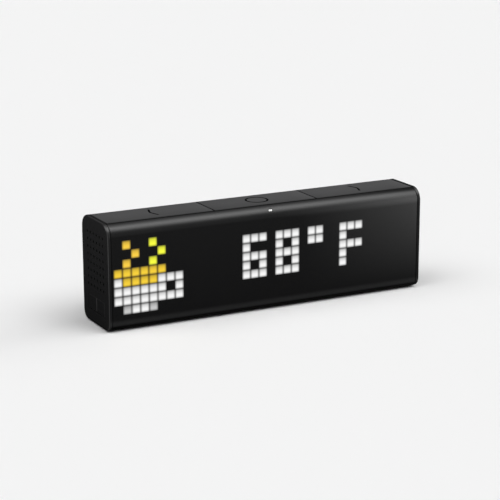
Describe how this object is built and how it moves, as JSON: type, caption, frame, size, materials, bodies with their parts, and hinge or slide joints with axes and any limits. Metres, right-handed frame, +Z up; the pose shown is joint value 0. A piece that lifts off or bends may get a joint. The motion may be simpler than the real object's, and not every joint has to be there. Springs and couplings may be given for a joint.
{
  "type": "smart pixel clock",
  "caption": "Low, wide desk clock with a smoked pixel display across its front, press plates along the top, a speaker grille and small keys in its end caps, and a power socket at the back.",
  "frame": {"origin": "on the table under the middle of the case, at the underside of its rubber feet", "axes": "+X along the display towards the viewer's right, +Y from the display to the back, +Z up"},
  "size_m": [0.2006, 0.0366, 0.061],
  "materials": {
    "smoked_front": "smoked black, satin gloss",
    "case_black": "fine matte",
    "press_plate": "fine matte",
    "side_key": "satin",
    "inner_plastic": "moulded",
    "foot_rubber": "soft matte",
    "white_diffuser": "milky sheet",
    "sensor_lens": "milky",
    "circuit_board": "solder mask",
    "chip": "moulded resin",
    "switch_metal": "pressed",
    "switch_stem": "moulded",
    "shield_can": "tinned",
    "socket_shell": "plated",
    "connector": "moulded",
    "flat_cable": "flexible",
    "grille_cloth": "fine black mesh",
    "speaker_frame": "moulded",
    "speaker_cone": "pressed paper",
    "speaker_magnet": "plated"
  },
  "bodies": {
    "case": {"front_shell": "smoked_front", "rear_housing": "case_black", "left_end_cap": "case_black", "right_end_cap": "case_black", "rubber_feet": "foot_rubber", "diffuser_sheet": "white_diffuser", "light_grid": "inner_plastic", "display_board": "circuit_board", "button_tray": "inner_plastic", "button_board": "circuit_board", "top_switches": "switch_metal", "light_sensor_window": "sensor_lens", "light_sensor": "chip", "volume_board": "circuit_board", "volume_switches": "switch_metal", "power_board": "circuit_board", "power_switch": "switch_metal", "grille_cloths": "grille_cloth", "speaker_frames": "speaker_frame", "speaker_cones": "speaker_cone", "speaker_magnets": "speaker_magnet", "speaker_leads": "flat_cable", "main_board": "circuit_board", "radio_can": "shield_can", "processor": "chip", "memory_chips": "chip", "usb_socket": "socket_shell", "cable_connectors": "connector", "display_ribbon": "flat_cable", "button_ribbon": "flat_cable", "volume_ribbon": "flat_cable", "power_ribbon": "flat_cable"},
    "left_button_body": {"left_button": "press_plate", "left_switch_stem": "switch_stem"},
    "action_button_body": {"action_button": "press_plate", "action_switch_stem": "switch_stem"},
    "right_button_body": {"right_button": "press_plate", "right_switch_stem": "switch_stem"},
    "volume_up_body": {"volume_up_key": "side_key", "volume_up_stem": "switch_stem"},
    "volume_down_body": {"volume_down_key": "side_key", "volume_down_stem": "switch_stem"},
    "power_button_body": {"power_button": "side_key", "power_switch_stem": "switch_stem"}
  },
  "joints": [
    {"name": "left_button_press", "type": "slide", "parent": "case", "child": "left_button_body", "axis": [0, 0, -1], "range_m": [0, 0.0005], "stiffness_N_per_m": 1000, "springref_m": -0.0005},
    {"name": "action_button_press", "type": "slide", "parent": "case", "child": "action_button_body", "axis": [0, 0, -1], "range_m": [0, 0.0005], "stiffness_N_per_m": 1000, "springref_m": -0.0005},
    {"name": "right_button_press", "type": "slide", "parent": "case", "child": "right_button_body", "axis": [0, 0, -1], "range_m": [0, 0.0005], "stiffness_N_per_m": 1000, "springref_m": -0.0005},
    {"name": "volume_up_press", "type": "slide", "parent": "case", "child": "volume_up_body", "axis": [1, 0, 0], "range_m": [0, 0.0004], "stiffness_N_per_m": 1000, "springref_m": -0.0004},
    {"name": "volume_down_press", "type": "slide", "parent": "case", "child": "volume_down_body", "axis": [1, 0, 0], "range_m": [0, 0.0004], "stiffness_N_per_m": 1000, "springref_m": -0.0004},
    {"name": "power_button_press", "type": "slide", "parent": "case", "child": "power_button_body", "axis": [-1, 0, 0], "range_m": [0, 0.0004], "stiffness_N_per_m": 1000, "springref_m": -0.0004}
  ]
}
